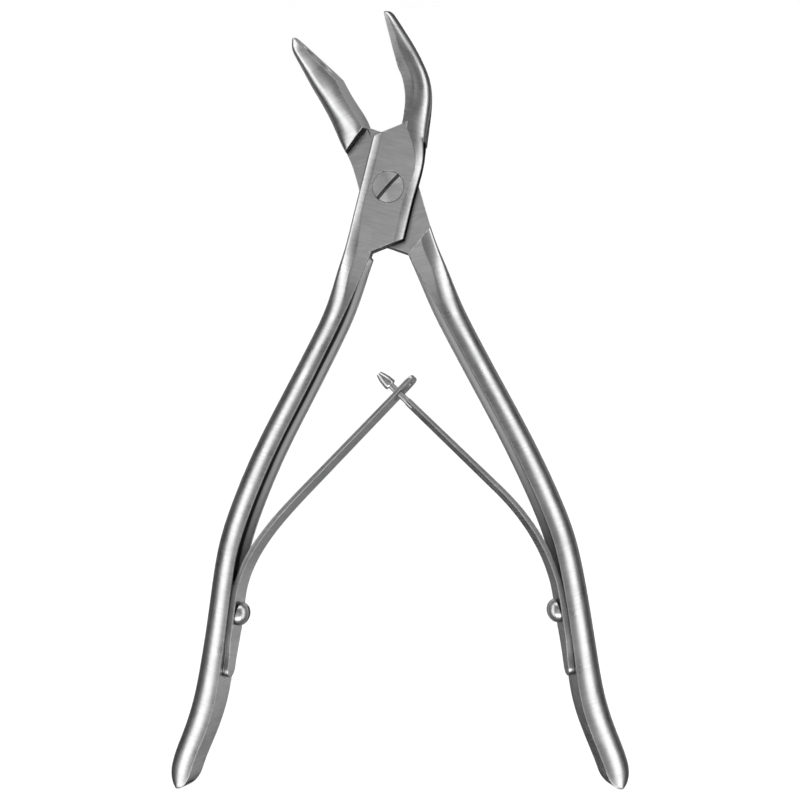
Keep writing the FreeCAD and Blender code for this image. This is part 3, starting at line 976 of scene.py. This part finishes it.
def left_leaf_spring():
    blade = leaf(-1, leaf_tip_reach)
    station = leaf_station(-1, 0.0)
    radius = hook_slot_width / 2
    ends = (radius - hook_slot_before, hook_slot_after - radius)
    outline = []
    for place, start in ((ends[1], -90), (ends[0], 90)):
        for step in range(hook_steps + 1):
            outline.append(Vector((place, 0, 0)) + polar(start + 180 * step / hook_steps, radius))
    slot = prism("slot", outline, -hook_slot_reach, hook_slot_reach)
    along = leaf_direction(-1)
    turn = axes(along, station.front, along.cross(station.front))
    slot.data.transform(Matrix.Translation(station.origin) @ turn)
    carve(blade, slot)
    blade.name = "left_leaf_steel"
    return blade


def right_leaf_spring():
    blade = leaf(1, -hook_shoulder)
    station = leaf_station(1, 0.0)
    neck = hook_neck_diameter / 2
    head = hook_head_diameter / 2
    tip = hook_head_tip_diameter / 2
    widest = hook_head_start + hook_head_edge
    end = hook_head_start + hook_head_length
    root = -hook_shoulder - cut_margin
    profile = [(0, root), (neck, root), (neck, hook_head_start),
               (head - hook_head_edge / 2, hook_head_start), (head, widest)]
    for step in range(1, hook_steps + 1):
        share = step / hook_steps
        profile.append((head - (head - tip) * share ** 2, widest + (end - widest) * share))
    profile.append((0, end))
    hook = lathe("hook", profile)
    turn = UP.rotation_difference(leaf_direction(1)).to_matrix().to_4x4()
    hook.data.transform(Matrix.Translation(station.origin) @ turn)
    carve(blade, hook, "UNION")
    blade.name = "right_leaf_steel"
    return blade


def shade_slot(screw, floor, half):
    """Store painted shade on the floor of a driver slot."""
    near = half / 10
    shades = [slot_painted_shade if abs(vertex.co.z - floor) < near else 0.0 for vertex in screw.data.vertices]
    store(screw, "shade", shades)


def pivot_screw():
    head = screw_head_diameter / 2
    shank = screw_shank_diameter / 2
    thread = screw_thread_diameter / 2
    base = joint_thickness - screw_head_depth
    top = joint_thickness + screw_head_rise
    crown = (head ** 2 + screw_head_rise ** 2) / (2 * screw_head_rise)
    profile = [(0, 0), (thread, 0), (thread, joint_middle), (shank, joint_middle),
               (shank, base), (head, base), (head, joint_thickness)]
    for step in range(1, screw_crown_steps + 1):
        radius = head * (1 - step / screw_crown_steps)
        profile.append((radius, top - crown + math.sqrt(crown ** 2 - radius ** 2)))
    screw = lathe("pivot_screw", profile, fine_segments)
    half = screw_slot_width / 2
    across = polar(screw_slot_angle + 90, half)
    along = polar(screw_slot_angle, 2 * head)
    corners = [along * -1 - across, along - across, along + across, along * -1 + across]
    carve(screw, prism("slot", corners, top - screw_slot_depth, top + cut_margin))
    shade_slot(screw, top - screw_slot_depth, half)
    return screw


def fed(tree, node, inputs):
    """Link or set the inputs of a node, which is made first where only its kind is given."""
    if isinstance(node, str):
        node = tree.nodes.new(node)
    for key, value in inputs.items():
        if isinstance(value, bpy.types.NodeSocket):
            tree.links.new(value, node.inputs[key])
        else:
            node.inputs[key].default_value = value
    return node


def screw_tree(material):
    """Return the nodes of a domed slotted screw: a head on the plane z = 0 with its shank below."""
    tree = bpy.data.node_groups.new("slotted_screw", "GeometryNodeTree")
    face = tree.interface
    face.new_socket("Geometry", in_out="OUTPUT", socket_type="NodeSocketGeometry")
    for title in spring_screw_sizes:
        face.new_socket(title, in_out="INPUT", socket_type="NodeSocketFloat").default_value = 1.0
    sizes = tree.nodes.new("NodeGroupInput").outputs

    def node(kind, inputs):
        return fed(tree, kind, inputs)

    def reckon(operation, first, second):
        made = tree.nodes.new("ShaderNodeMath")
        made.operation = operation
        return fed(tree, made, {0: first, 1: second}).outputs["Value"]

    def vector(*values):
        return node("ShaderNodeCombineXYZ", dict(zip("XYZ", values))).outputs["Vector"]

    def moved(geometry, key, value):
        return node("GeometryNodeTransform", {"Geometry": geometry, key: value}).outputs["Geometry"]

    def box(length, width, height, middle):
        cube = node("GeometryNodeMeshCube", {"Size": vector(length, width, height)})
        return moved(cube.outputs["Mesh"], "Translation", vector(0.0, 0.0, middle))

    def joined(operation, first, second):
        made = tree.nodes.new("GeometryNodeMeshBoolean")
        made.operation = operation
        tree.links.new(first, made.inputs["Mesh 1" if operation == "DIFFERENCE" else "Mesh 2"])
        tree.links.new(second, made.inputs["Mesh 2"])
        return made.outputs["Mesh"]

    radius = reckon("MULTIPLY", sizes["Head diameter"], 0.5)
    wide = reckon("MULTIPLY", sizes["Head diameter"], 2.0)
    ball = node("GeometryNodeMeshUVSphere", {"Segments": turn_segments, "Rings": dome_rings, "Radius": 1.0})
    dome = moved(ball.outputs["Mesh"], "Scale", vector(radius, radius, sizes["Head height"]))
    head = joined("DIFFERENCE", dome, box(wide, wide, wide, reckon("MULTIPLY", wide, -0.5)))
    shank = node("GeometryNodeMeshCylinder", {
        "Vertices": turn_segments, "Radius": reckon("MULTIPLY", sizes["Shank diameter"], 0.5),
        "Depth": reckon("ADD", sizes["Length"], shank_overlap)})
    sunk = reckon("MULTIPLY", reckon("SUBTRACT", sizes["Length"], shank_overlap), -0.5)
    body = joined("UNION", head, moved(shank.outputs["Mesh"], "Translation", vector(0.0, 0.0, sunk)))
    slot = box(wide, sizes["Slot width"], reckon("MULTIPLY", sizes["Slot depth"], 2.0), sizes["Head height"])
    whole = node("GeometryNodeRealizeInstances", {"Geometry": joined("DIFFERENCE", body, slot)})
    dressed = node("GeometryNodeSetMaterial", {"Geometry": whole.outputs["Geometry"], "Material": material})
    node("NodeGroupOutput", {"Geometry": dressed.outputs["Geometry"]})
    return tree


def grown(tree, sizes):
    """Return the plain mesh a Geometry Nodes tree makes from named sizes."""
    obj = new_object(tree.name, [Vector((0, 0, 0))], [])
    modifier = obj.modifiers.new("tree", "NODES")
    modifier.node_group = tree
    for item in tree.interface.items_tree:
        if item.in_out == "INPUT":
            modifier[item.identifier] = sizes[item.name]
    return settle(obj)


def spring_screw(side, tree):
    station = handle_station(side, spring_screw_station)
    sizes = spring_screw_sizes
    screw = grown(tree, sizes)
    shade_slot(screw, sizes["Head height"] - sizes["Slot depth"], sizes["Slot width"] / 2)
    inward = station.outward * -1
    along = Vector((0, -1, 0))
    along = (along - inward * along.dot(inward)).normalized()
    raised = leaf_seat_clearance + leaf_thickness + spring_screw_head_clearance
    place = station.point(seat_depth - raised, 0.0)
    screw.data.transform(Matrix.Translation(place) @ axes(along, inward.cross(along), inward))
    return screw


def make_camera():
    """Set up the camera that was fitted to the outline of the instrument."""
    level = cosine(camera_pitch)
    back = Vector((sine(camera_yaw) * level, sine(camera_pitch), cosine(camera_yaw) * level))
    right = Vector((0, 1, 0)).cross(back).normalized()
    top = back.cross(right)
    across = right * cosine(camera_roll) - top * sine(camera_roll)
    up = right * sine(camera_roll) + top * cosine(camera_roll)
    place = (Vector(camera_target) + back * camera_distance) * MM
    data = bpy.data.cameras.new("camera")
    data.sensor_width = sensor_width
    data.lens = focal_pixels * sensor_width / picture_size
    data.shift_x = (picture_size / 2 - picture_centre[0]) / picture_size
    data.shift_y = (picture_centre[1] - picture_size / 2) / picture_size
    data.clip_start, data.clip_end = camera_clip
    camera = add_object("camera", data)
    camera.matrix_world = Matrix.Translation(place) @ axes(across, up, back)
    bpy.context.scene.camera = camera


def add_area(name, place, size, brightness):
    """Add a soft box of the given brightness, aimed at the middle of the instrument."""
    data = bpy.data.lights.new(name, "AREA")
    data.shape = "RECTANGLE"
    data.size = size[0]
    data.size_y = size[1]
    data.energy = brightness * math.pi * size[0] * size[1]
    lamp = add_object(name, data)
    lamp.location = place
    aim = Vector(lamp_aim) - Vector(place)
    lamp.rotation_euler = aim.to_track_quat("-Z", "Y").to_euler()


def ranged(tree, value, source, result, kind="LINEAR"):
    """Return a value carried from one range to another."""
    node = tree.nodes.new("ShaderNodeMapRange")
    node.interpolation_type = kind
    titles = ("Value", "From Min", "From Max", "To Min", "To Max")
    return fed(tree, node, dict(zip(titles, (value, *source, *result)))).outputs["Result"]


def make_world():
    """Light the set softly: grey overhead, darker towards the horizon."""
    world = bpy.data.worlds.new("studio")
    world.use_nodes = True
    tree = world.node_tree
    place = tree.nodes.new("ShaderNodeTexCoord")
    parts = fed(tree, "ShaderNodeSeparateXYZ", {"Vector": place.outputs["Generated"]})
    height = ranged(tree, parts.outputs["Z"], world_heights, world_strengths, "SMOOTHSTEP")
    fed(tree, tree.nodes["Background"], {"Strength": height, "Color": (1.0, 1.0, 1.0, 1.0)})
    bpy.context.scene.world = world


def new_material(name):
    material = bpy.data.materials.new(name)
    material.use_nodes = True
    tree = material.node_tree
    return material, tree, tree.nodes["Principled BSDF"]


def make_backdrop():
    """Lay paper under the instrument with a painted pool of light: white under it, fading to painted grey
    shade outside the picture.
    """
    centre = Vector((0, camera_target[1] * MM, -backdrop_depth))
    reach = backdrop_reach
    floor = new_object("backdrop", rectangle(-reach, -reach, reach, reach), [(0, 1, 2, 3)])
    floor.data.transform(Matrix.Translation(centre))
    material, tree, shader = new_material("paper_with_painted_pool")
    place = tree.nodes.new("ShaderNodeTexCoord")
    distance = tree.nodes.new("ShaderNodeVectorMath")
    distance.operation = "DISTANCE"
    fed(tree, distance, {0: place.outputs["Object"], 1: centre})
    # Painted pool of light: white near the middle, painted shade further out
    fade = ranged(tree, distance.outputs["Value"], painted_light_pool, painted_pool_tones, "SMOOTHSTEP")
    fed(tree, shader, {"Base Color": fade, "Roughness": paper_roughness, "Specular IOR Level": 0.0})
    floor.data.materials.append(material)


def mixed(tree, share, first, second):
    """Return the mix of two numbers."""
    return fed(tree, "ShaderNodeMix", {"Factor": share, "A": first, "B": second}).outputs["Result"]


def turn_tangent(tree, shader):
    """Let the grinding run round the axis of a screw, with its gleam at an angle to it."""
    place = tree.nodes.new("ShaderNodeTexCoord")
    radial = tree.nodes.new("ShaderNodeMapping")
    radial.vector_type = "VECTOR"
    rotation = (0, 0, math.radians(turned_twist))
    fed(tree, radial, {"Vector": place.outputs["Object"], "Rotation": rotation, "Scale": (1, 1, 0)})
    world = tree.nodes.new("ShaderNodeVectorTransform")
    world.vector_type = "VECTOR"
    world.convert_from = "OBJECT"
    world.convert_to = "WORLD"
    fed(tree, world, {"Vector": radial.outputs["Vector"]})
    fed(tree, shader, {"Tangent": world.outputs["Vector"]})


def steel(name, base, rough, edge_radius=0.0, turned=0.0):
    """Return satin steel: grinding lines across the piece, cloudy polish, painted shade in recesses, a
    painted highlight on broken edges, softened edges.
    """
    material, tree, shader = new_material(name)

    def attribute(title, output):
        found = tree.nodes.new("ShaderNodeAttribute")
        found.attribute_name = title
        return found.outputs[output]

    def noise(scale, detail):
        mapping = fed(tree, "ShaderNodeMapping", {"Vector": grain, "Scale": scale})
        texture = fed(tree, "ShaderNodeTexNoise", {
            "Vector": mapping.outputs["Vector"], "Scale": 1.0, "Detail": detail})
        return texture.outputs["Fac"]

    grain = attribute("grain", "Vector")
    lines = noise(*lines_noise)
    line_tones = ranged(tree, lines, noise_range, (base - lines_tone, base + lines_tone))
    band_tones = ranged(tree, noise(*bands_noise), noise_range, (-bands_tone, bands_tone))
    roughness = ranged(tree, noise(*clouds_noise), noise_range, [rough + more for more in clouds_rough])
    add = fed(tree, "ShaderNodeMath", {0: line_tones, 1: band_tones})
    looks = [add.outputs["Value"], 1.0, roughness]
    for title, *finish in finishes:
        share = attribute(title, "Fac")
        looks = [mixed(tree, share, plain, changed) for plain, changed in zip(looks, finish)]
    tone, metallic, roughness = looks
    bump = fed(tree, "ShaderNodeBump", {
        "Strength": lines_bump_strength, "Distance": lines_bump_distance, "Height": lines})
    if edge_radius > 0:
        edge = fed(tree, "ShaderNodeBevel", {"Radius": edge_radius})
        edge.samples = edge_samples
        fed(tree, bump, {"Normal": edge.outputs["Normal"]})
    fed(tree, shader, {
        "Base Color": tone, "Metallic": metallic, "Roughness": roughness, "Normal": bump.outputs["Normal"],
        "Specular Tint": steel_tint, "Anisotropic": turned})
    if turned > 0:
        turn_tangent(tree, shader)
    return material


def dress(obj, side, angle, material, node):
    """Finish the mesh of a piece, give it its steel and hide its CAD solid."""
    finish_mesh(obj, side, angle)
    obj.data.materials.clear()
    obj.data.materials.append(material)
    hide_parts(node)


def make_arms(material):
    rows = ((front_arm(), "front_arm", -1, "front"), (rear_arm(), "rear_arm", 1, "rear"))
    for body, node, side, rides in rows:
        body.name = node + "_steel"
        grain_values(body, side)
        shade_arm(body, side)
        ground_faces(body, side)
        dress(body, side, arm_sharp_angle, material, node)
        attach(body, rides)


def make_leaves(material):
    rows = ((left_leaf_spring(), "left_leaf_spring", -1, "front", "rear"),
            (right_leaf_spring(), "right_leaf_spring", 1, "rear", "front"))
    for blade, node, side, near, far in rows:
        plain_grain(blade)
        dress(blade, side, leaf_sharp_angle, material, node)
        lift = opened(seat_middle(side, leaf_lift), side) * MM
        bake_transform(blade)


def make_screws(domed, turned):
    tree = screw_tree(domed)
    rows = ((pivot_screw(), "pivot_screw", 0, "rear", turned),
            (spring_screw(-1, tree), "left_spring_screw", -1, "front", domed),
            (spring_screw(1, tree), "right_spring_screw", 1, "rear", domed))
    for screw, node, side, rides, material in rows:
        screw.name = node + "_steel"
        plain_grain(screw)
        dress(screw, side, screw_sharp_angle, material, node)
        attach(screw, rides)


make_camera()
make_world()
make_backdrop()
for soft_box in soft_boxes:
    add_area(*soft_box)
make_arms(steel("arm_steel", base=0.5, rough=0.29, edge_radius=0.0002))
make_leaves(steel("spring_steel", base=0.5, rough=0.32))
make_screws(steel("screw_steel", base=0.5, rough=0.33),
            steel("turned_steel", base=0.55, rough=0.5, turned=0.9))

bpy.context.scene.view_settings.view_transform = "Standard"
